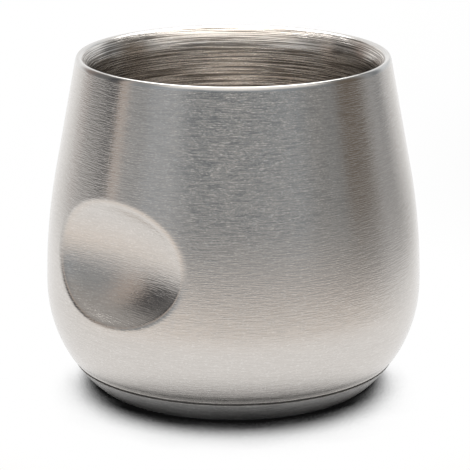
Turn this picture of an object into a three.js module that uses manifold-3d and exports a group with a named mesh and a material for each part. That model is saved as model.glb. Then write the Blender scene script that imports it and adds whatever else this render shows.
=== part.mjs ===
// Double-walled espresso cup: a brushed steel shell with a thumb dimple pressed into it, a spun liner,
// a pressed base pan, and the two welds that join them. Millimetres, +Z up. The cup stands on z = 0,
// its axis is the Z axis, and the dimple faces -Y.
import * as THREE from "three";
import { mergeVertices } from "three/addons/utils/BufferGeometryUtils.js";
import Module from "manifold-3d";

// Body outline, on the outer face.
const cupHeight = 58.2;
const bellyRadius = 33;
const bellyHeight = 17.8;
const footRadius = 24.8; // where the belly curve would reach the table
const bellyArcHeight = 20.3; // from the belly up to where the straight wall starts
const wallTaperDegrees = 10.85;

// Sheet, and the room between nested pieces.
const sheet = 0.6;
const fitGap = 0.3;

// Lip: the edges of shell and liner lie side by side, fused under a rounded bead.
const lipGap = 0.25;
const lipRise = 0.85;

// Liner: a drawn cup whose wall flares out to the lip.
const linerDraftDegrees = 2.6;
const linerFloorHeight = 8;
const linerCorner = 8;
const flareRadius = 6;
const flareDegrees = 35; // lean of the flare where it meets the lip

// Base pan and the seam above it.
const seamHeight = 3.9;
const seamWidth = 0.35;
const seamDepth = 0.35;
const upstandHeight = 3;
const footCorner = 1;
const footRingWidth = 5;
const panelRun = 2;
const panelRise = 1;

// Thumb dimple: an oval bowl, wider than tall, pressed square to the wall.
const dimpleHeight = 27.4;
const dimpleHalfWidth = 13.7;
const dimpleHalfTall = 10.7;
const dimpleSink = 1.5; // below the line that joins its left and right ends
const punchReach = 10; // half of the punch's own thickness

// Smoothness of the round forms.
const turnSegments = 64;
const arcSteps = 5;
const cornerSteps = 4;
const punchSegments = 40;
const punchRings = 36;

const taper = THREE.MathUtils.degToRad(wallTaperDegrees);
const draft = THREE.MathUtils.degToRad(linerDraftDegrees);
const flare = THREE.MathUtils.degToRad(flareDegrees);

// The outline is one arc from the table to the belly, one from the belly up, then a straight wall.
const footFall = bellyRadius - footRadius;
const lowerArc = (footFall ** 2 + bellyHeight ** 2) / (2 * footFall);
const lowerCentre = bellyRadius - lowerArc;
const upperArc = bellyArcHeight / Math.sin(taper);
const upperCentre = bellyRadius - upperArc;

// How far the wall leans inwards at height z.
function bodyLean(z) {
  const rise = z - bellyHeight;
  if (rise < 0) return Math.asin(rise / lowerArc);
  return rise < bellyArcHeight ? Math.asin(rise / upperArc) : taper;
}

// Radius at height z of the curve that runs inside the outer face at a distance of inset.
function bodyRadius(z, inset) {
  const rise = z - bellyHeight;
  if (rise < 0) return lowerCentre + Math.sqrt((lowerArc - inset) ** 2 - rise ** 2);
  const arc = upperArc - inset;
  if (rise < arc * Math.sin(taper)) return upperCentre + Math.sqrt(arc ** 2 - rise ** 2);
  return upperCentre + arc / Math.cos(taper) - rise * Math.tan(taper);
}

function arcPoints(centreRadius, centreHeight, radius, from, to, steps) {
  return new THREE.EllipseCurve(centreRadius, centreHeight, radius, radius, from, to, to < from).getPoints(steps);
}

function at(radius, height) {
  return new THREE.Vector2(radius, height);
}

// Heights and radii that neighbouring pieces share.
const weldHeight = cupHeight - lipRise;
const shellEdge = seamHeight + seamWidth;
const shellEdgeInner = bodyRadius(shellEdge, sheet);
const upstandRadius = shellEdgeInner - fitGap;
const lipOuter = bodyRadius(weldHeight, 0);
const linerMouth = bodyRadius(weldHeight, sheet) - lipGap - sheet / Math.cos(flare);

// One face of the shell, from its lower edge to the lip.
function shellFace(inset) {
  const lower = lowerArc - inset;
  const edgeAngle = Math.asin((shellEdge - bellyHeight) / lower);
  return [
    ...arcPoints(lowerCentre, bellyHeight, lower, edgeAngle, 0, arcSteps),
    ...arcPoints(upperCentre, bellyHeight, upperArc - inset, 0, taper, arcSteps).slice(1),
    at(bodyRadius(weldHeight, inset), weldHeight),
  ];
}

// The solid inside one face of the shell, down to the axis.
function shellCore(inset) {
  return turn([at(0, shellEdge), ...shellFace(inset), at(0, weldHeight)]);
}

// One face of the liner, from the axis out along the floor, up the wall and out along the flare.
function linerFace(outset) {
  const cornerHeight = linerFloorHeight + linerCorner;
  const flareHeight = weldHeight - flareRadius * Math.sin(flare);
  const flareCentre = linerMouth + flareRadius * Math.cos(flare);
  const wallFall = (flareHeight - cornerHeight) * Math.tan(draft);
  const cornerCentre = flareCentre - wallFall - (flareRadius + linerCorner) / Math.cos(draft);
  const flareArc = flareRadius - outset;
  const lipLean = Math.asin((weldHeight - flareHeight) / flareArc);
  return [
    at(0, linerFloorHeight - outset),
    ...arcPoints(cornerCentre, cornerHeight, linerCorner + outset, -Math.PI / 2, -draft, cornerSteps),
    ...arcPoints(flareCentre, flareHeight, flareArc, Math.PI - draft, Math.PI - lipLean, cornerSteps),
  ];
}

// One face of the base pan: raised panel, foot ring, rounded corner, the belly curve, shoulder, upstand.
function panFace(inset) {
  const corner = footCorner - inset;
  const cornerRadius =
    lowerCentre + Math.sqrt((lowerArc - footCorner) ** 2 - (bellyHeight - footCorner) ** 2);
  const cornerAngle = Math.atan2(footCorner - bellyHeight, cornerRadius - lowerCentre);
  const ringInner = cornerRadius - footRingWidth;
  const mitre = inset * Math.tan(Math.atan2(panelRise, panelRun) / 2);
  const shoulder = seamHeight - inset;
  const lower = lowerArc - inset;
  const shoulderAngle = Math.asin((shoulder - bellyHeight) / lower);
  return [
    at(0, panelRise + inset),
    at(ringInner - panelRun + mitre, panelRise + inset),
    at(ringInner + mitre, inset),
    ...arcPoints(cornerRadius, footCorner, corner, -Math.PI / 2, cornerAngle, cornerSteps),
    ...arcPoints(lowerCentre, bellyHeight, lower, cornerAngle, shoulderAngle, cornerSteps).slice(1),
    at(upstandRadius - inset, shoulder),
    at(upstandRadius - inset, seamHeight + upstandHeight),
  ];
}

// The rounded lip bead, tangent to the shell outside and to the flare inside.
function lipSection() {
  const outer = at(lipOuter, weldHeight);
  const inner = at(linerMouth, weldHeight);
  const crest = at((lipOuter + linerMouth) / 2, cupHeight);
  const lean = lipRise / 2;
  const round = (lipOuter - linerMouth) / 4;
  const outside = new THREE.CubicBezierCurve(
    outer,
    at(lipOuter - lean * Math.tan(taper), weldHeight + lean),
    at(crest.x + round, cupHeight),
    crest,
  );
  const inside = new THREE.CubicBezierCurve(
    crest,
    at(crest.x - round, cupHeight),
    at(linerMouth + lean * Math.tan(flare), weldHeight + lean),
    inner,
  );
  return [...outside.getPoints(cornerSteps), ...inside.getPoints(cornerSteps).slice(1), outer.clone()];
}

function ringSection(innerRadius, outerRadius, low, high) {
  return [
    at(innerRadius, low),
    at(outerRadius, low),
    at(outerRadius, high),
    at(innerRadius, high),
    at(innerRadius, low),
  ];
}

function turn(profile) {
  return new THREE.LatheGeometry(profile, turnSegments).rotateX(Math.PI / 2);
}

// A sheet between two faces that both start on the axis.
function dish(underside, upperside) {
  return turn([...underside, ...upperside.reverse()]);
}

const wasm = await Module();
wasm.setup();

function solidOf(geometry) {
  const bare = geometry.clone();
  bare.deleteAttribute("normal");
  bare.deleteAttribute("uv");
  const merged = mergeVertices(bare);
  const corners = merged.index.array;
  const triangles = [];
  for (let i = 0; i < corners.length; i += 3) {
    const [a, b, c] = corners.subarray(i, i + 3);
    if (a !== b && b !== c && c !== a) triangles.push(a, b, c);
  }
  return new wasm.Manifold(
    new wasm.Mesh({
      numProp: 3,
      vertProperties: merged.attributes.position.array,
      triVerts: new Uint32Array(triangles),
    }),
  );
}

function geometryOf(solid) {
  const mesh = solid.getMesh();
  const geometry = new THREE.BufferGeometry();
  geometry.setAttribute("position", new THREE.BufferAttribute(mesh.vertProperties, 3));
  geometry.setIndex(new THREE.BufferAttribute(mesh.triVerts, 1));
  geometry.computeVertexNormals();
  return geometry;
}

// The oval punch that presses the dimple, grown by the sheet for the back of the pressing.
function punch(growth) {
  const wallRadius = bodyRadius(dimpleHeight, 0);
  const lean = bodyLean(dimpleHeight);
  const sideFall = wallRadius - Math.sqrt(wallRadius ** 2 - dimpleHalfWidth ** 2);
  const endFall = upperArc - Math.sqrt(upperArc ** 2 - dimpleHalfTall ** 2);
  const depth = sideFall + dimpleSink;
  const sideLevel = (punchReach - dimpleSink) / punchReach;
  const endLevel = (punchReach - depth + endFall) / punchReach;
  const across = dimpleHalfWidth / Math.sqrt(1 - sideLevel ** 2);
  const tall = dimpleHalfTall / Math.sqrt(1 - endLevel ** 2);
  const centre = new THREE.Vector3(0, -wallRadius, dimpleHeight);
  const outwards = new THREE.Vector3(0, -Math.cos(lean), Math.sin(lean));
  centre.addScaledVector(outwards, punchReach - depth);
  return new THREE.SphereGeometry(1, punchSegments, punchRings)
    .scale(across + growth, punchReach + growth, tall + growth)
    .rotateX(-lean)
    .translate(centre.x, centre.y, centre.z);
}

// The pressing keeps its thickness: the punch dents the outer face, and the grown punch the inner one.
function outerShell() {
  const outside = solidOf(shellCore(0)).subtract(solidOf(punch(0)));
  const hollow = solidOf(shellCore(sheet)).subtract(solidOf(punch(sheet)));
  return geometryOf(outside.subtract(hollow));
}

function steel(name, geometry, colour, roughness) {
  const material = new THREE.MeshStandardMaterial({ color: colour, roughness, metalness: 1 });
  const mesh = new THREE.Mesh(geometry, material);
  mesh.name = name;
  return mesh;
}

const seamWeld = ringSection(
  shellEdgeInner - fitGap / 2,
  bodyRadius(seamHeight, 0) - seamDepth,
  seamHeight,
  shellEdge,
);

const cup = new THREE.Group();
cup.add(
  steel("outer_shell", outerShell(), 0xaaa49c, 0.36),
  steel("inner_liner", dish(linerFace(sheet), linerFace(0)), 0x9d958b, 0.3),
  steel("base_pan", dish(panFace(0), panFace(sheet)), 0x97928b, 0.38),
  steel("rim_weld", turn(lipSection()), 0xd4d0ca, 0.16),
  steel("base_weld", turn(seamWeld), 0x6d6964, 0.5),
);

export default cup;
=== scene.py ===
# %% [markdown]
# A double-walled espresso cup in brushed steel
#
# The cup is five pieces of steel: a shell with a thumb dimple pressed into it, a spun liner, a base dish,
# and the two welds that join them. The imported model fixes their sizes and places. Each piece is modelled
# again here as a fine mesh in the same frame, because its curves are seen mostly through their reflections,
# and a reflection shows every facet.

# %% Load the frame
import math

import bmesh
import bpy
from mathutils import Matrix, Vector


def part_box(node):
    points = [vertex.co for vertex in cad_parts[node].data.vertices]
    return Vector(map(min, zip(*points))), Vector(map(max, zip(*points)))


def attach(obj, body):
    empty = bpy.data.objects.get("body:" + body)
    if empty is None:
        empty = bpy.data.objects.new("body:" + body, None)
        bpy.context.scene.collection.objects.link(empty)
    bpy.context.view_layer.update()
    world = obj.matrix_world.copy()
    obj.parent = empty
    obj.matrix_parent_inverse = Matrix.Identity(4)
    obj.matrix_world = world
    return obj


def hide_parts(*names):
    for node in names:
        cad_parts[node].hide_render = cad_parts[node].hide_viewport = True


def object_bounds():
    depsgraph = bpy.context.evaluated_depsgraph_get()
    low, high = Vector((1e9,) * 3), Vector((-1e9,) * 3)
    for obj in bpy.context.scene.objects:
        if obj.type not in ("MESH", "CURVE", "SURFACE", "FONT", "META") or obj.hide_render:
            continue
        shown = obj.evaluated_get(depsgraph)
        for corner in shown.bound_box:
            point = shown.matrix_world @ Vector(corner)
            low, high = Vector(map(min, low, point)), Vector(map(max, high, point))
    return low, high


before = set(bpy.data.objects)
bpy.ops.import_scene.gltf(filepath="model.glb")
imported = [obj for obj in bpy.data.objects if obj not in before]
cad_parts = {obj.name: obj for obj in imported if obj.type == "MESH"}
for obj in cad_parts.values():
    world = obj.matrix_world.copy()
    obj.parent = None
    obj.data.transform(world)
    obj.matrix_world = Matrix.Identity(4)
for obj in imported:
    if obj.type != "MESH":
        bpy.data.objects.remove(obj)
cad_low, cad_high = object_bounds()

MM = 0.001
cup_height = cad_high.z
belly_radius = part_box("outer_shell")[1].x
print("cup", round(cup_height / MM, 1), "mm tall,", round(2 * belly_radius / MM, 1), "mm across the belly")

# %% [markdown]
# The camera comes first, because every later choice is judged through it. The picture was taken from close
# by, a little above the cup, with the dimple on the left. A long lens at forty centimetres gives the same
# narrowing towards the foot and the same width of the mouth.

# %% Camera
view_turn = math.radians(39.7)
view_rise = math.radians(16.0)
view_distance = 400 * MM
aim_height = 25.6 * MM
aim_right = 0.27 * MM
lens_in_mm = 173.1
sensor_in_mm = 36.0

view_right = Vector((math.cos(view_turn), math.sin(view_turn), 0))
view_front = Vector((math.sin(view_turn), -math.cos(view_turn), 0))
aim = Vector((0, 0, aim_height)) + view_right * aim_right
to_camera = view_front * math.cos(view_rise) + Vector((0, 0, math.sin(view_rise)))
camera_data = bpy.data.cameras.new("photo_camera")
camera_data.sensor_width = sensor_in_mm
camera_data.lens = lens_in_mm
camera = bpy.data.objects.new("photo_camera", camera_data)
bpy.context.scene.collection.objects.link(camera)
camera.location = aim + view_distance * to_camera
camera.rotation_euler = (aim - camera.location).to_track_quat("-Z", "Y").to_euler()
bpy.context.scene.camera = camera
print("camera at", [round(v, 4) for v in camera.location])

# %% [markdown]
# The outline of the cup is drawn once, as a radius for each height: an arc from the table to the belly, a
# flatter arc above the belly, and a straight taper to the lip. Every face of the sheet is this same curve
# moved inwards, so a wall of even thickness needs only one number more.

# %% Body outline
belly_height = 17.8 * MM
foot_radius = 24.8 * MM
belly_arc_height = 20.3 * MM
wall_taper = math.radians(10.85)
sheet = 0.6 * MM

foot_fall = belly_radius - foot_radius
lower_arc = (foot_fall**2 + belly_height**2) / (2 * foot_fall)
lower_centre = belly_radius - lower_arc
upper_arc = belly_arc_height / math.sin(wall_taper)
upper_centre = belly_radius - upper_arc


def body_radius(height, inset=0.0):
    """Radius of the body at a height, measured inside its outer face by inset."""
    rise = height - belly_height
    if rise < 0:
        return lower_centre + math.sqrt((lower_arc - inset) ** 2 - rise**2)
    arc = upper_arc - inset
    if rise < arc * math.sin(wall_taper):
        return upper_centre + math.sqrt(arc**2 - rise**2)
    return upper_centre + arc / math.cos(wall_taper) - rise * math.tan(wall_taper)


def spaced(start, end, steps):
    """Evenly spaced values from start to end, both included."""
    return [start + (end - start) * i / steps for i in range(steps + 1)]


def arc_points(centre, radius, start, end, steps):
    """Points of an arc in the plane of radius and height."""
    return [
        (centre[0] + radius * math.cos(a), centre[1] + radius * math.sin(a))
        for a in spaced(start, end, steps)
    ]


def straight(start, end, steps):
    """Points of a straight line in the same plane."""
    return list(zip(spaced(start[0], end[0], steps), spaced(start[1], end[1], steps)))


print("belly arc", round(lower_arc / MM, 1), "mm below and", round(upper_arc / MM, 1), "mm above")

# %% [markdown]
# Every piece is a body of revolution, as it is on the spinning lathe that makes it. A Screw modifier could
# turn the profile, but the shell needs columns that stand closer together across its dimple, so one short
# function turns any profile through any list of angles. Edges that turn by more than the crease angle stay
# sharp; all others are shaded smooth.

# %% Turning a profile
on_axis = 1e-6 * MM
crease_angle = math.radians(40)
round_columns = 192


def turned(name, profile, angles, closed=False):
    """Turns a profile of (radius, height) points round the Z axis; angle 0 faces -Y."""
    bm = bmesh.new()
    rings = []
    for radius, height in profile:
        if radius < on_axis:
            circle = [(0, 0, height)]
        else:
            circle = [(radius * math.sin(a), -radius * math.cos(a), height) for a in angles]
        rings.append([bm.verts.new(point) for point in circle])
    count = len(angles)
    pairs = list(zip(rings, rings[1:]))
    if closed:
        pairs.append((rings[-1], rings[0]))
    for low, high in pairs:
        for j in range(count):
            k = (j + 1) % count
            corners = [low[j % len(low)], low[k % len(low)], high[k % len(high)], high[j % len(high)]]
            bm.faces.new(list(dict.fromkeys(corners)))
    bmesh.ops.recalc_face_normals(bm, faces=bm.faces)
    mesh = bpy.data.meshes.new(name)
    bm.to_mesh(mesh)
    bm.free()
    mesh.shade_smooth()
    mesh.set_sharp_from_angle(angle=crease_angle)
    piece = bpy.data.objects.new(name, mesh)
    bpy.context.scene.collection.objects.link(piece)
    print(name, len(mesh.polygons), "faces")
    return piece


def full_turn(columns):
    """Even angles all the way round, without the first one again at the end."""
    return spaced(0, 2 * math.pi, columns)[:-1]


even_turn = full_turn(round_columns)
print(len(even_turn), "columns round a plain piece")

# %% [markdown]
# The shell is drawn from sheet, and its dimple is pressed with an oval punch, wider than tall, square to the
# wall. The pressing is worked out as a height field over the punch: a point of the wall keeps its place
# unless the punch reaches deeper, and a smooth minimum of the two rounds the rim of the dimple as real sheet
# rounds over, more softly at its top. A boolean cut would leave that rim knife-sharp.

# %% Shell with its thumb dimple
seam_height = 3.9 * MM
seam_width = 0.35 * MM
lip_rise = 0.85 * MM
edge_round = 0.3 * MM
shell_edge = seam_height + seam_width
weld_height = cup_height - lip_rise

dimple_height = 27.4 * MM
dimple_half_width = 13.8 * MM
dimple_half_tall = 10.4 * MM
dimple_sink = 1.5 * MM
punch_reach = 10 * MM
rim_blend = 0.6 * MM
rim_blend_top = 0.9 * MM

wall_at_dimple = body_radius(dimple_height)
wall_lean = math.asin((dimple_height - belly_height) / upper_arc)
side_fall = wall_at_dimple - math.sqrt(wall_at_dimple**2 - dimple_half_width**2)
end_fall = upper_arc - math.sqrt(upper_arc**2 - dimple_half_tall**2)
dimple_depth = side_fall + dimple_sink
punch_across = dimple_half_width / math.sqrt(1 - ((punch_reach - dimple_sink) / punch_reach) ** 2)
punch_tall = dimple_half_tall / math.sqrt(1 - ((punch_reach - dimple_depth + end_fall) / punch_reach) ** 2)
punch_axis = Vector((0, -math.cos(wall_lean), math.sin(wall_lean)))
punch_up = Vector((0, math.sin(wall_lean), math.cos(wall_lean)))
punch_centre = Vector((0, -wall_at_dimple, dimple_height)) + punch_axis * (punch_reach - dimple_depth)


def pressed(point, growth):
    """Where a point of the wall ends up when the punch, grown all round by growth, has pressed it."""
    from_punch = point - punch_centre
    out = from_punch.dot(punch_axis)
    up = from_punch.dot(punch_up)
    spread = (from_punch.x / (punch_across + growth)) ** 2 + (up / (punch_tall + growth)) ** 2
    if spread >= 1 or point.y > 0:
        return point
    punch_face = -(punch_reach + growth) * math.sqrt(1 - spread)
    softness = max(up / dimple_half_tall, 0) ** 2
    blend = rim_blend + (rim_blend_top - rim_blend) * softness
    overlap = max(blend - abs(out - punch_face), 0) / blend
    settled = min(out, punch_face) - overlap**2 * blend / 4
    return point + punch_axis * (settled - out)


fine_half = math.radians(33)
fine_low = 14 * MM
fine_high = 41 * MM
fine_columns = 132
plain_columns = 148
rows_below = 12
fine_rows = 90
rows_above = 10
edge_steps = 5
shell_angles = spaced(-fine_half, fine_half, fine_columns)
shell_angles += spaced(fine_half, 2 * math.pi - fine_half, plain_columns)[1:-1]
heights = spaced(shell_edge + edge_round, fine_low, rows_below)
heights += spaced(fine_low, fine_high, fine_rows)[1:]
heights += spaced(fine_high, weld_height, rows_above)[1:]

edge_outer = body_radius(shell_edge)
edge_centre = (edge_outer - edge_round, shell_edge + edge_round)
outer_face = arc_points(edge_centre, edge_round, -math.pi / 2, 0, edge_steps)
outer_face += [(body_radius(h), h) for h in heights[1:]]
inner_face = [(body_radius(h, sheet), h) for h in [shell_edge] + heights]
shell = turned("shell_pressing", outer_face + inner_face[::-1], shell_angles, closed=True)
outer_count = len(outer_face) * len(shell_angles)
for vertex in shell.data.vertices:
    vertex.co = pressed(vertex.co, 0 if vertex.index < outer_count else sheet)
print("dimple", round(dimple_depth / MM, 2), "mm deep at its middle")

# %% [markdown]
# The liner is the cup inside the cup. Its wall tapers in by a few degrees so that it draws off its tool, and
# a wide corner leads into the floor, which keeps it easy to rinse. At the mouth it flares outwards in one
# arc, as it does when a roller turns the edge of a spun cup over. It stays clear of the back of the dimple.

# %% Liner
liner_draft = math.radians(2.6)
liner_floor = 8 * MM
liner_corner = 8 * MM
liner_inset = 2.06 * MM
flare_tall = 3.17 * MM
flare_radius = 6 * MM
mouth_drop = 0.35 * MM
floor_steps = 12
corner_steps = 24
wall_steps = 20
flare_steps = 16
mouth_height = cup_height - mouth_drop
wall_top = (body_radius(weld_height, sheet) - liner_inset, weld_height - flare_tall)
flare_centre = wall_top[0] + flare_radius * math.cos(liner_draft)
flare_height = wall_top[1] - flare_radius * math.sin(liner_draft)
corner_height = liner_floor + liner_corner
wall_fall = (flare_height - corner_height) * math.tan(liner_draft)
corner_centre = flare_centre - wall_fall - (flare_radius + liner_corner) / math.cos(liner_draft)


def flare_lean(outset, top):
    """How far the flare leans out from upright where a face of the liner reaches a height."""
    return math.asin((top - flare_height) / (flare_radius - outset))


def liner_face(outset, top):
    """One face of the liner, from the axis along the floor, up the wall and out along the flare."""
    points = [(radius, liner_floor - outset) for radius in spaced(0, corner_centre, floor_steps)[:-1]]
    corner = (corner_centre, corner_height)
    points += arc_points(corner, liner_corner + outset, -math.pi / 2, -liner_draft, corner_steps)
    turn = (math.pi - liner_draft, math.pi - flare_lean(outset, top))
    flare = arc_points((flare_centre, flare_height), flare_radius - outset, *turn, flare_steps)
    return points + straight(points[-1], flare[0], wall_steps)[1:-1] + flare


liner_outer = liner_face(sheet, weld_height)
liner_inner = liner_face(0, mouth_height)
liner = turned("liner_cup", liner_outer + liner_inner[::-1], even_turn)
print("mouth", round(2 * liner_inner[-1][0] / MM, 1), "mm across")

# %% [markdown]
# The base dish closes the shell from below. Its side carries the belly curve on to the table, a shoulder
# makes the lower lip of the seam, and an upstand nests inside the shell. Underneath, a flat ring is the foot
# and the panel inside it is raised, as on most pressed cups, so that the cup doesn't rock.

# %% Base dish
fit_gap = 0.3 * MM
upstand_height = 3 * MM
foot_corner = 1 * MM
foot_ring_width = 5 * MM
panel_run = 2 * MM
panel_rise = 1 * MM
shoulder_round = 0.05 * MM
panel_steps = 10
rise_steps = 8
foot_steps = 8
side_steps = 12
shoulder_steps = 5
upstand_radius = body_radius(shell_edge, sheet) - fit_gap
foot_centre = lower_centre + math.sqrt((lower_arc - foot_corner) ** 2 - (belly_height - foot_corner) ** 2)
foot_angle = math.atan2(foot_corner - belly_height, foot_centre - lower_centre)


def eased_rise(start, end, steps):
    """Points of a smooth step from one level to another."""
    points = []
    for share in spaced(0, 1, steps):
        eased = share * share * (3 - 2 * share)
        points.append((start[0] + (end[0] - start[0]) * share, start[1] + (end[1] - start[1]) * eased))
    return points


def dish_face(inset, round_edge):
    """One face of the base dish, from the axis out to the foot, up the side and up the upstand."""
    ring_inner = foot_centre - foot_ring_width
    shoulder = seam_height - inset
    lower = lower_arc - inset
    top_angle = math.asin((shoulder - round_edge - belly_height) / lower)
    panel_edge = (ring_inner - panel_run, panel_rise + inset)
    points = [(radius, panel_edge[1]) for radius in spaced(0, panel_edge[0], panel_steps)[:-1]]
    points += eased_rise(panel_edge, (ring_inner, inset), rise_steps)
    corner = (foot_centre, foot_corner)
    points += arc_points(corner, foot_corner - inset, -math.pi / 2, foot_angle, foot_steps)
    points += arc_points((lower_centre, belly_height), lower, foot_angle, top_angle, side_steps)[1:]
    if round_edge:
        shoulder_centre = (points[-1][0] - round_edge, shoulder - round_edge)
        points += arc_points(shoulder_centre, round_edge, 0, math.pi / 2, shoulder_steps)[1:]
    points += [(upstand_radius - inset, shoulder), (upstand_radius - inset, seam_height + upstand_height)]
    return points


dish = turned("base_dish", dish_face(0, shoulder_round) + dish_face(sheet, 0)[::-1], even_turn)
print("foot ring", round(foot_ring_width / MM, 1), "mm wide")

# %% [markdown]
# At the lip the two sheets lie side by side and are fused and polished to one bead. Its crest lies near the
# outer edge: a short round leads from there to the shell, and a longer roll leads into the flare. Both are
# tangent to the sheets they meet, so the light runs over the lip without a break.

# %% Lip bead
def bezier(a, b, c, d, steps):
    """Points of a cubic curve with ends a and d and handles b and c."""
    points = []
    for s in spaced(0, 1, steps):
        weights = ((1 - s) ** 3, 3 * s * (1 - s) ** 2, 3 * s * s * (1 - s), s**3)
        points.append(tuple(sum(w * p[i] for w, p in zip(weights, (a, b, c, d))) for i in (0, 1)))
    return points


lip_edge = 0.32 * MM
edge_rise = 0.6 * MM
edge_handle = 0.2 * MM
roll_rise = 0.18 * MM
roll_handle = 0.25 * MM
lip_edge_steps = 10
lip_roll_steps = 12
lip_outer = (body_radius(weld_height), weld_height)
lip_crest = (body_radius(cup_height) - lip_edge, cup_height)
lip_inner = liner_inner[-1]
edge_start = (body_radius(weld_height + edge_rise), weld_height + edge_rise)
edge_end = (lip_crest[0] + edge_handle, cup_height)
roll_start = (lip_crest[0] - roll_handle, cup_height)
roll_end = (lip_inner[0] + roll_rise * math.tan(flare_lean(0, mouth_height)), mouth_height + roll_rise)
lip_profile = bezier(lip_outer, edge_start, edge_end, lip_crest, lip_edge_steps)
lip_profile += bezier(lip_crest, roll_start, roll_end, lip_inner, lip_roll_steps)[1:]
lip_profile.append(liner_outer[-1])
lip = turned("lip_bead", lip_profile, even_turn, closed=True)

# %% [markdown]
# The seam above the foot is a narrow groove with the weld at its bottom. The weld is laid by a torch that
# pulses, so its outer face swells and narrows a little all the way round.

# %% Seam weld
seam_depth = 0.35 * MM
weld_pulses = 120
pulse_height = 0.03 * MM
face_slack = 0.01 * MM
weld_columns = 480
weld_inner = body_radius(shell_edge, sheet) - fit_gap / 2
weld_outer = body_radius(seam_height) - seam_depth
weld_profile = [
    (weld_inner, seam_height),
    (weld_outer, seam_height),
    (weld_outer, (seam_height + shell_edge) / 2),
    (weld_outer, shell_edge),
    (weld_inner, shell_edge),
]
weld = turned("seam_weld", weld_profile, full_turn(weld_columns), closed=True)
for vertex in weld.data.vertices:
    radius = math.hypot(vertex.co.x, vertex.co.y)
    if radius > weld_outer - face_slack:
        pulse = pulse_height * math.cos(weld_pulses * math.atan2(vertex.co.y, vertex.co.x)) - pulse_height
        vertex.co.x *= 1 + pulse / radius
        vertex.co.y *= 1 + pulse / radius
print("weld", weld_pulses, "pulses")

# %% [markdown]
# The finishes, the room and the floor are all built from shader nodes. A few short functions add a node, join
# it to what feeds it and hand back its output, so that the later cells read like the sums they stand for.

# %% Helpers for nodes
def add(tree, kind, **settings):
    """Adds a node and sets its properties; a socket name as key sets that input."""
    node = tree.nodes.new(kind)
    for key, value in settings.items():
        if hasattr(node, key):
            setattr(node, key, value)
        else:
            node.inputs[key.replace("_", " ")].default_value = value
    return node


def maths(tree, operation, first, second=None):
    """A Math node on sockets or numbers; returns its output."""
    node = add(tree, "ShaderNodeMath", operation=operation)
    for place, value in enumerate((first, second)):
        if isinstance(value, bpy.types.NodeSocket):
            tree.links.new(value, node.inputs[place])
        elif value is not None:
            node.inputs[place].default_value = value
    return node.outputs[0]


def ranged(tree, value, low, high, new_low=0.0, new_high=1.0):
    """A clamped, smooth Map Range; returns its output."""
    node = add(tree, "ShaderNodeMapRange", interpolation_type="SMOOTHSTEP")
    tree.links.new(value, node.inputs["Value"])
    for name, number in (("From Min", low), ("From Max", high), ("To Min", new_low), ("To Max", new_high)):
        node.inputs[name].default_value = number
    return node.outputs["Result"]


def mixed(tree, share, first, second, kind="RGBA"):
    """Mixes two sockets or values, colours unless kind is FLOAT; returns the result."""
    node = add(tree, "ShaderNodeMix", data_type=kind)
    tree.links.new(share, node.inputs["Factor"])
    for name, value in (("A", first), ("B", second)):
        if isinstance(value, bpy.types.NodeSocket):
            tree.links.new(value, node.inputs[name])
        else:
            node.inputs[name].default_value = value
    return node.outputs["Result"]


def new_group(name, inputs, outputs):
    """A shader node group with float sockets; returns the tree, its input node and its output node."""
    tree = bpy.data.node_groups.new(name, "ShaderNodeTree")
    for socket, value in inputs.items():
        tree.interface.new_socket(socket, in_out="INPUT", socket_type="NodeSocketFloat").default_value = value
    for socket in outputs:
        tree.interface.new_socket(socket, in_out="OUTPUT", socket_type="NodeSocketFloat")
    return tree, tree.nodes.new("NodeGroupInput"), tree.nodes.new("NodeGroupOutput")


print("node helpers: add, maths, ranged, mixed and new_group")

# %% [markdown]
# All the steel on this cup was finished while it turned: brushed with a belt outside, spun inside, polished
# at the lip. So all of it carries streaks that run round the axis, and only their fineness differs. One node
# group makes them from noise that is stretched round the cup and squeezed along its outline, and gives short
# flecks from the same noise with a shorter stretch. It works on object coordinates, so there is no seam where
# an unwrapped pattern would meet itself.

# %% Shader group: turned streaks
streak_inputs = {"Lines per mm": 3.0, "Streak length mm": 4.0, "Radial share": 0.0, "Shift": 0.0}
streak_span = (0.3, 0.7)
fleck_span = (0.55, 0.75)
fleck_share = 0.2
fleck_shift = 50.0
flat_only = (1, 1, 0)


def streak_noise(tree, flat, travel, length, lines, shift):
    """Noise that is long round the cup and fine along its outline."""
    spread = maths(tree, "DIVIDE", 1.0, length)
    along = add(tree, "ShaderNodeVectorMath", operation="SCALE")
    tree.links.new(flat, along.inputs[0])
    tree.links.new(spread, along.inputs["Scale"])
    parts = add(tree, "ShaderNodeSeparateXYZ")
    tree.links.new(along.outputs[0], parts.inputs[0])
    fine = maths(tree, "ADD", maths(tree, "MULTIPLY", travel, lines), shift)
    joined = add(tree, "ShaderNodeCombineXYZ")
    for place, socket in enumerate((parts.outputs[0], parts.outputs[1], fine)):
        tree.links.new(socket, joined.inputs[place])
    noise = add(tree, "ShaderNodeTexNoise", Scale=1.0, Detail=0.0)
    tree.links.new(joined.outputs[0], noise.inputs["Vector"])
    return noise.outputs[0]


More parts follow.
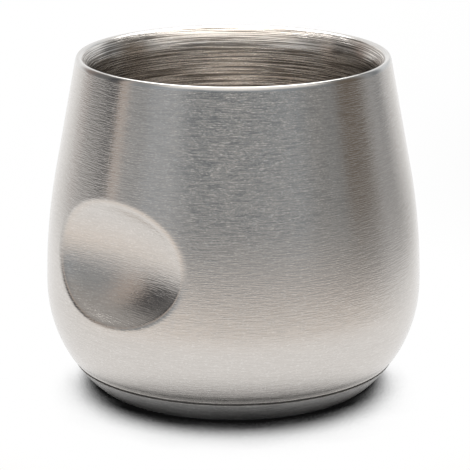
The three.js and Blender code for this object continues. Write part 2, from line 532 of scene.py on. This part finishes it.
streaks, source, result = new_group("Turned streaks", streak_inputs, ("Streaks", "Flecks"))
place = add(streaks, "ShaderNodeTexCoord")
in_mm = add(streaks, "ShaderNodeVectorMath", operation="SCALE", Scale=1 / MM)
streaks.links.new(place.outputs["Object"], in_mm.inputs[0])
flat = add(streaks, "ShaderNodeVectorMath", operation="MULTIPLY")
flat.inputs[1].default_value = flat_only
streaks.links.new(in_mm.outputs[0], flat.inputs[0])
reach = add(streaks, "ShaderNodeVectorMath", operation="LENGTH")
streaks.links.new(flat.outputs[0], reach.inputs[0])
upright = add(streaks, "ShaderNodeSeparateXYZ")
streaks.links.new(in_mm.outputs[0], upright.inputs[0])
outwards = maths(streaks, "MULTIPLY", reach.outputs["Value"], source.outputs["Radial share"])
travel = maths(streaks, "ADD", upright.outputs[2], outwards)
lines = source.outputs["Lines per mm"]
length = source.outputs["Streak length mm"]
shift = source.outputs["Shift"]
long_lines = streak_noise(streaks, flat.outputs[0], travel, length, lines, shift)
mark_length = maths(streaks, "MULTIPLY", length, fleck_share)
mark_shift = maths(streaks, "ADD", shift, fleck_shift)
marks = streak_noise(streaks, flat.outputs[0], travel, mark_length, lines, mark_shift)
streaks.links.new(ranged(streaks, long_lines, *streak_span), result.inputs["Streaks"])
streaks.links.new(ranged(streaks, marks, *fleck_span), result.inputs["Flecks"])
print("group", streaks.name, "with", len(streaks.nodes), "nodes")

# %% [markdown]
# Steel that is handled is never evenly bright: a belt presses harder in places, and cloths leave a bloom. A
# second group gives every finish the same soft clouds, a few millimetres to a few centimetres wide.

# %% Shader group: soft clouds
cloud_detail = 3.0
cloud_roughness = 0.55
cloud_span = (0.3, 0.7)
clouds, source, result = new_group("Soft clouds", {"Cloud size mm": 12.0}, ("Clouds",))
place = add(clouds, "ShaderNodeTexCoord")
scale = maths(clouds, "DIVIDE", 1 / MM, source.outputs["Cloud size mm"])
noise = add(clouds, "ShaderNodeTexNoise", Detail=cloud_detail, Roughness=cloud_roughness)
clouds.links.new(place.outputs["Object"], noise.inputs["Vector"])
clouds.links.new(scale, noise.inputs["Scale"])
clouds.links.new(ranged(clouds, noise.outputs[0], *cloud_span), result.inputs["Clouds"])
print("group", clouds.name, "with", len(clouds.nodes), "nodes")

# %% [markdown]
# Each finish is a Principled metal. Streaks move its colour, its roughness and, through a bump, its normal.
# Flecks are short single brush marks: they raise the bump, and they lighten the colour as painted glints.
# Brushing also stretches reflections across the streaks, which is what makes brushed steel look silky, so the
# shader is anisotropic, with its tangent running round the axis.

# %% Recipe for turned steel
# Tone of the painted glints that the flecks lighten the steel towards.
painted_glint_tone = (0.95, 0.94, 0.92, 1)
streak_depth = 0.02 * MM
across_streaks = 0.25
fleck_rise = 0.6
both_span = (0.0, 2.0)


def steel(name, dark, light, roughness, stretch, relief, cloud_size, flecks, **streak_values):
    """A turned steel finish: two tones, a span of roughness, anisotropy and the depth of its streaks."""
    material = bpy.data.materials.new(name)
    material.use_nodes = True
    tree = material.node_tree
    shader = tree.nodes["Principled BSDF"]
    shader.inputs["Metallic"].default_value = 1.0
    shader.inputs["Anisotropic"].default_value = stretch
    shader.inputs["Anisotropic Rotation"].default_value = across_streaks
    grain = add(tree, "ShaderNodeGroup", node_tree=streaks)
    for socket, value in streak_values.items():
        grain.inputs[socket.replace("_", " ")].default_value = value
    bloom = add(tree, "ShaderNodeGroup", node_tree=clouds)
    bloom.inputs["Cloud size mm"].default_value = cloud_size
    tone = mixed(tree, grain.outputs["Streaks"], (*dark, 1), (*light, 1))
    # Painted glint: the flecks argument sets how far flecks lighten the base colour.
    painted_glint = maths(tree, "MULTIPLY", grain.outputs["Flecks"], flecks)
    tree.links.new(mixed(tree, painted_glint, tone, painted_glint_tone), shader.inputs["Base Color"])
    both = maths(tree, "ADD", grain.outputs["Streaks"], bloom.outputs["Clouds"])
    tree.links.new(ranged(tree, both, *both_span, *roughness), shader.inputs["Roughness"])
    bump = add(tree, "ShaderNodeBump", Strength=relief, Distance=streak_depth)
    fleck_height = maths(tree, "MULTIPLY", grain.outputs["Flecks"], fleck_rise)
    tree.links.new(maths(tree, "ADD", grain.outputs["Streaks"], fleck_height), bump.inputs["Height"])
    tree.links.new(bump.outputs["Normal"], shader.inputs["Normal"])
    around = add(tree, "ShaderNodeTangent", direction_type="RADIAL", axis="Z")
    tree.links.new(around.outputs["Tangent"], shader.inputs["Tangent"])
    print("finish", name)
    return material


print("steel streaks are", round(streak_depth / MM, 3), "mm deep")

# %% [markdown]
# Five finishes come from that recipe. The shell is brushed finely and evenly. The liner is spun, so its rings
# are coarse and strong. The foot is brushed too, but duller, the lip is polished, and the weld is dark.

# %% Steel finishes
shell_steel = steel(
    "Brushed shell steel", dark=(0.61, 0.578, 0.546), light=(0.655, 0.622, 0.589), roughness=(0.16, 0.21),
    stretch=0.8, relief=0.45, cloud_size=14, flecks=0.2, Lines_per_mm=6.5, Streak_length_mm=2.4,
)
liner_steel = steel(
    "Spun liner steel", dark=(0.24, 0.214, 0.188), light=(0.875, 0.826, 0.773), roughness=(0.18, 0.23),
    stretch=0.92, relief=0.8, cloud_size=10, flecks=0.25, Lines_per_mm=4.8, Streak_length_mm=12,
    Radial_share=1.0, Shift=7,
)
dish_steel = steel(
    "Brushed foot steel", dark=(0.50, 0.49, 0.48), light=(0.57, 0.56, 0.55), roughness=(0.5, 0.58),
    stretch=0.5, relief=0.3, cloud_size=9, flecks=0.3, Lines_per_mm=5.0, Streak_length_mm=3,
    Radial_share=1.0, Shift=19,
)
lip_steel = steel(
    "Polished lip steel", dark=(0.62, 0.605, 0.585), light=(0.68, 0.665, 0.645), roughness=(0.15, 0.21),
    stretch=0.5, relief=0.08, cloud_size=6, flecks=0.05, Lines_per_mm=4, Streak_length_mm=6,
    Radial_share=1.0, Shift=31,
)
weld_steel = steel(
    "Seam weld steel", dark=(0.10, 0.095, 0.09), light=(0.16, 0.155, 0.15), roughness=(0.5, 0.6),
    stretch=0.2, relief=0.4, cloud_size=3, flecks=0.0, Lines_per_mm=5, Streak_length_mm=0.6, Shift=43,
)

# %% [markdown]
# Each mesh now takes its finish and its place in the frame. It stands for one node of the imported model, so
# the two can be laid over each other and compared.

# %% Dress the frame
dressing = (
    (shell, "outer_shell", "shell_brushed", shell_steel),
    (liner, "inner_liner", "liner_spun", liner_steel),
    (dish, "base_pan", "pan_brushed", dish_steel),
    (lip, "rim_weld", "lip_polished", lip_steel),
    (weld, "base_weld", "seam_weld", weld_steel),
)
for piece, node, slot, finish in dressing:
    piece.data.materials.append(finish)
    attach(piece, "root")
    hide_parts(node)
    print(piece.name, "stands for", node)

# %% [markdown]
# A bright metal shows its room more than itself. This studio has a white sweep behind the cup and a quiet
# grey room in front of it, with narrow cards and flags at both sides that draw the upright bands on the
# shell. The world paints them by compass bearing, in degrees from the camera with left as minus. Each card
# has two edges and one colour, and the colours run into each other between the cards.

# %% World: walls and cards
cards = (
    ("white sweep on the left", -180, -144, (1.0, 1.0, 1.0)),
    ("brown curtain", -127, -122, (0.27, 0.22, 0.2)),
    ("grey flag", -116, -103, (0.18, 0.178, 0.177)),
    ("black flag", -98, -89, (0.08, 0.08, 0.085)),
    ("pink strip", -86, -82, (0.58, 0.505, 0.455)),
    ("left wall", -76, -64, (0.346, 0.362, 0.375)),
    ("pale left wall", -58, -42, (0.42, 0.452, 0.483)),
    ("room behind the camera", -25, 4, (0.199, 0.226, 0.25)),
    ("right wall", 38, 44, (0.279, 0.311, 0.340)),
    ("grey right wall", 57, 73, (0.255, 0.265, 0.271)),
    ("brown flag", 82, 98, (0.161, 0.132, 0.105)),
    ("pale strip", 111, 115, (0.36, 0.37, 0.38)),
    ("grey gap", 120, 125, (0.225, 0.24, 0.254)),
    ("edge of the sweep", 136, 150, (0.795, 0.82, 0.845)),
    ("white sweep on the right", 166, 180, (1.0, 1.0, 1.0)),
)
world = bpy.data.worlds.new("studio")
bpy.context.scene.world = world
world.use_nodes = True
room = world.node_tree
direction = add(room, "ShaderNodeTexCoord")
facing = add(room, "ShaderNodeVectorRotate", rotation_type="Z_AXIS", Angle=-view_turn)
room.links.new(direction.outputs["Generated"], facing.inputs["Vector"])
compass = add(room, "ShaderNodeSeparateXYZ")
room.links.new(facing.outputs[0], compass.inputs[0])
bearing = maths(room, "ARCTAN2", compass.outputs[0], maths(room, "MULTIPLY", compass.outputs[1], -1.0))
turn_share = maths(room, "ADD", maths(room, "DIVIDE", bearing, 2 * math.pi), 0.5)
walls = add(room, "ShaderNodeValToRGB")
room.links.new(turn_share, walls.inputs["Fac"])
stops = walls.color_ramp.elements
edges = [(degrees, colour) for _, start, end, colour in cards for degrees in (start, end)]
while len(stops) < len(edges):
    stops.new(0.5)
for stop, (degrees, colour) in zip(stops, edges):
    stop.position = degrees / 360 + 0.5
    stop.color = (*colour, 1)
print(len(cards), "cards from the", cards[0][0], "to the", cards[-1][0])

# %% [markdown]
# Above the cards comes the ceiling. The flare, the dimple and the lip face upwards, so they show it most. It
# is bright in front, where the main light of a studio hangs, bright behind, over the sweep, and dim at both
# sides. Overhead, a long strip of light from front to back brightens the flare. The spans below say where one
# tone turns into the next, as sines and cosines of bearing and height.

# %% World: ceiling
ceiling_left = (0.42, 0.41, 0.40, 1)
ceiling_right = (0.26, 0.26, 0.255, 1)
ceiling_front = (1.1, 1.07, 1.03, 1)
ceiling_back = (1.0, 0.98, 0.95, 1)
ceiling_top = (1.75, 1.66, 1.56, 1)
front_turn = math.radians(9)
side_span = (-0.5, 0.5)
front_span = (0.2, 0.6)
back_span = (-0.95, -0.5)
top_span = (0.72, 0.88)
strip_side = (0.35, 0.65)
wall_tops = (0.36, 0.56)
front_rise = 0.1
frontwards = maths(room, "COSINE", bearing)
to_lamp = maths(room, "COSINE", maths(room, "SUBTRACT", bearing, front_turn))
rightwards = maths(room, "SINE", bearing)
ceiling = mixed(room, ranged(room, rightwards, *side_span), ceiling_left, ceiling_right)
ceiling = mixed(room, ranged(room, to_lamp, *front_span), ceiling, ceiling_front)
ceiling = mixed(room, ranged(room, frontwards, *back_span), ceiling_back, ceiling)
overhead = ranged(room, compass.outputs[2], *top_span)
in_strip = ranged(room, maths(room, "ABSOLUTE", compass.outputs[0]), *strip_side, 1.0, 0.0)
ceiling = mixed(room, maths(room, "MULTIPLY", overhead, in_strip), ceiling, ceiling_top)
rise = maths(room, "ADD", compass.outputs[2], maths(room, "MULTIPLY", frontwards, front_rise))
whole_room = mixed(room, ranged(room, rise, *wall_tops), walls.outputs["Color"], ceiling)
room.links.new(whole_room, room.nodes["Background"].inputs["Color"])
print("world with", len(room.nodes), "nodes")

# %% [markdown]
# The floor is a plain sheet of white paper, far larger than the picture. Scattered light meets an ordinary
# matt surface. Rays that are seen directly, in metal or through glass meet a white of strength one, so the
# ground of the picture is white without more light on the cup. The steps after this one paint a shadow and a
# pool of light into that white.

# %% Floor: paper
floor_half = 2.5
paper_tone = (0.93, 0.93, 0.93, 1)
paper_roughness = 0.9
paper_shine = 0.1
floor_mesh = bpy.data.meshes.new("floor")
corners = [(x * floor_half, y * floor_half, 0) for x, y in ((-1, -1), (1, -1), (1, 1), (-1, 1))]
floor_mesh.from_pydata(corners, [], [(0, 1, 2, 3)])
floor = bpy.data.objects.new("floor", floor_mesh)
bpy.context.scene.collection.objects.link(floor)
paper = bpy.data.materials.new("White paper floor")
paper.use_nodes = True
floor_mesh.materials.append(paper)
tree = paper.node_tree
matt = tree.nodes["Principled BSDF"]
matt.inputs["Base Color"].default_value = paper_tone
matt.inputs["Roughness"].default_value = paper_roughness
matt.inputs["Specular IOR Level"].default_value = paper_shine
glow = add(tree, "ShaderNodeEmission")
rays = add(tree, "ShaderNodeLightPath")
seen = maths(tree, "MAXIMUM", rays.outputs["Is Camera Ray"], rays.outputs["Is Glossy Ray"])
seen = maths(tree, "MAXIMUM", seen, rays.outputs["Is Transmission Ray"])
either = add(tree, "ShaderNodeMixShader")
tree.links.new(seen, either.inputs[0])
tree.links.new(matt.outputs[0], either.inputs[1])
tree.links.new(glow.outputs[0], either.inputs[2])
tree.links.new(either.outputs[0], tree.nodes["Material Output"].inputs["Surface"])
print("floor", 2 * floor_half, "m wide")

# %% [markdown]
# Under the cup a shadow is painted into the floor's glow, where the cup would keep the light off it. The
# Ambient Occlusion node measures how open each point is. The painted shadow leans as if most light fell from
# above and a little behind, so the same openness counts for less in front of the foot, in the belly's shade,
# and for more beside it. Behind the foot, as if the cup stood in the way of the light from the front, it
# counts for a little less again.

# %% Floor: contact shade
shade_reach = 25 * MM
shade_span = (-50 * MM, 54 * MM)
shade_lean = 0.31
shade_back = 0.4
back_strip = (15 * MM, 35 * MM)
shade_open = (0.135, 0.43)
shade_dark = 0.004
spot = add(tree, "ShaderNodeTexCoord")
squared = add(tree, "ShaderNodeVectorRotate", rotation_type="Z_AXIS", Angle=-view_turn)
tree.links.new(spot.outputs["Object"], squared.inputs["Vector"])
away = add(tree, "ShaderNodeSeparateXYZ")
tree.links.new(squared.outputs[0], away.inputs[0])
openness = add(tree, "ShaderNodeAmbientOcclusion", Distance=shade_reach)
lean = ranged(tree, away.outputs[1], *shade_span, -shade_lean, shade_lean)
hidden = ranged(tree, away.outputs[1], *back_strip, 0.0, shade_back)
opened = maths(tree, "SUBTRACT", maths(tree, "ADD", openness.outputs["AO"], lean), hidden)
# Painted shadow: this darkens the floor's glow near the foot.
shade = ranged(tree, opened, *shade_open, shade_dark, 1.0)
print("contact shade", round(shade_reach / MM), "mm wide")

# %% [markdown]
# A pool of light is painted into the paper's glow and fades outside the picture. The steel shows that fading
# in its lower half, so the painted light is greyer to the front and the sides and stays white towards the
# sweep. The right side is the darkest, and it is a little lighter towards the back.

# %% Floor: pool of light
pool_fade = (80 * MM, 195 * MM)
pool_place = -view_right * 20 * MM - view_front * 12 * MM
# Strengths of the painted pool of light to the front, left, right and right back.
painted_light_front = 0.55
painted_light_left = 0.66
painted_light_right = 0.36
painted_light_right_back = 0.46
paper_sides = (-0.6, 0.6)
paper_turn = (-0.9, -0.2)
back_turn = (0.0, 0.25)
sweep_turn = (0.36, 1.0)
sweep_lean = 0.08
distance = add(tree, "ShaderNodeVectorMath", operation="LENGTH")
tree.links.new(spot.outputs["Object"], distance.inputs[0])
far = distance.outputs["Value"]
behind = maths(tree, "DIVIDE", away.outputs[1], far)
sideways = maths(tree, "DIVIDE", away.outputs[0], far)
side_level = ranged(tree, sideways, *paper_sides, painted_light_left, painted_light_right)
level = mixed(tree, ranged(tree, behind, *paper_turn), painted_light_front, side_level, "FLOAT")
back_level = ranged(tree, sideways, *paper_sides, painted_light_left, painted_light_right_back)
level = mixed(tree, ranged(tree, behind, *back_turn), level, back_level, "FLOAT")
to_sweep = maths(tree, "SUBTRACT", behind, maths(tree, "MULTIPLY", sideways, sweep_lean))
level = mixed(tree, ranged(tree, to_sweep, *sweep_turn), level, 1.0, "FLOAT")
from_pool = add(tree, "ShaderNodeVectorMath", operation="DISTANCE")
tree.links.new(spot.outputs["Object"], from_pool.inputs[0])
from_pool.inputs[1].default_value = pool_place
faded = ranged(tree, from_pool.outputs["Value"], *pool_fade)
pool = mixed(tree, faded, 1.0, level, "FLOAT")
# The glow's strength is the painted pool of light times the painted shadow.
tree.links.new(maths(tree, "MULTIPLY", pool, shade), glow.inputs["Strength"])
print("pool of light fades from", round(pool_fade[0] / MM), "to", round(pool_fade[1] / MM), "mm")

# %% [markdown]
# A real room gives the light from the front a warm tinge, which the lower belly shows. Here it is painted as
# a warm glow on a ring of the paper in front of the cup, for the most part outside the picture.

# %% Floor: warm tinge
paper_white = (1.0, 1.0, 1.0, 1)
# Colour of the warm light painted on a ring of the floor's glow.
painted_warm_glow = (1.0, 0.925, 0.86, 1)
warm_turn = (-0.6, 0.3)
warm_start = (48 * MM, 100 * MM)
warm_end = (105 * MM, 190 * MM)
in_front = ranged(tree, behind, *warm_turn, 1.0, 0.0)
outside = ranged(tree, far, *warm_start)
inside = ranged(tree, far, *warm_end, 1.0, 0.0)
warmth = maths(tree, "MULTIPLY", in_front, maths(tree, "MULTIPLY", outside, inside))
tree.links.new(mixed(tree, warmth, paper_white, painted_warm_glow), glow.inputs["Color"])
print("floor with", len(tree.nodes), "nodes")

# %% [markdown]
# One soft box hangs over the cup, a little behind it, where the shell's bands don't show it. It draws the
# thin white line along the front of the lip.

# %% Soft box
box_wide = 0.9
box_tall = 0.5
box_power = 4.5
box_back = 0.25
box_height = 0.68
box_place = Vector((0, 0, box_height)) - view_front * box_back
lamp = bpy.data.lights.new("soft_box", "AREA")
lamp.shape = "RECTANGLE"
lamp.size = box_wide
lamp.size_y = box_tall
lamp.energy = box_power
soft_box = bpy.data.objects.new("soft_box", lamp)
soft_box.location = box_place
soft_box.rotation_euler = (Vector((0, 0, cup_height)) - box_place).to_track_quat("-Z", "Y").to_euler()
bpy.context.scene.collection.objects.link(soft_box)
print("soft box", box_wide, "by", box_tall, "m")

# %% [markdown]
# Colours are shown as they are, without a film look.

# %% Finish
bpy.context.scene.view_settings.view_transform = "Standard"
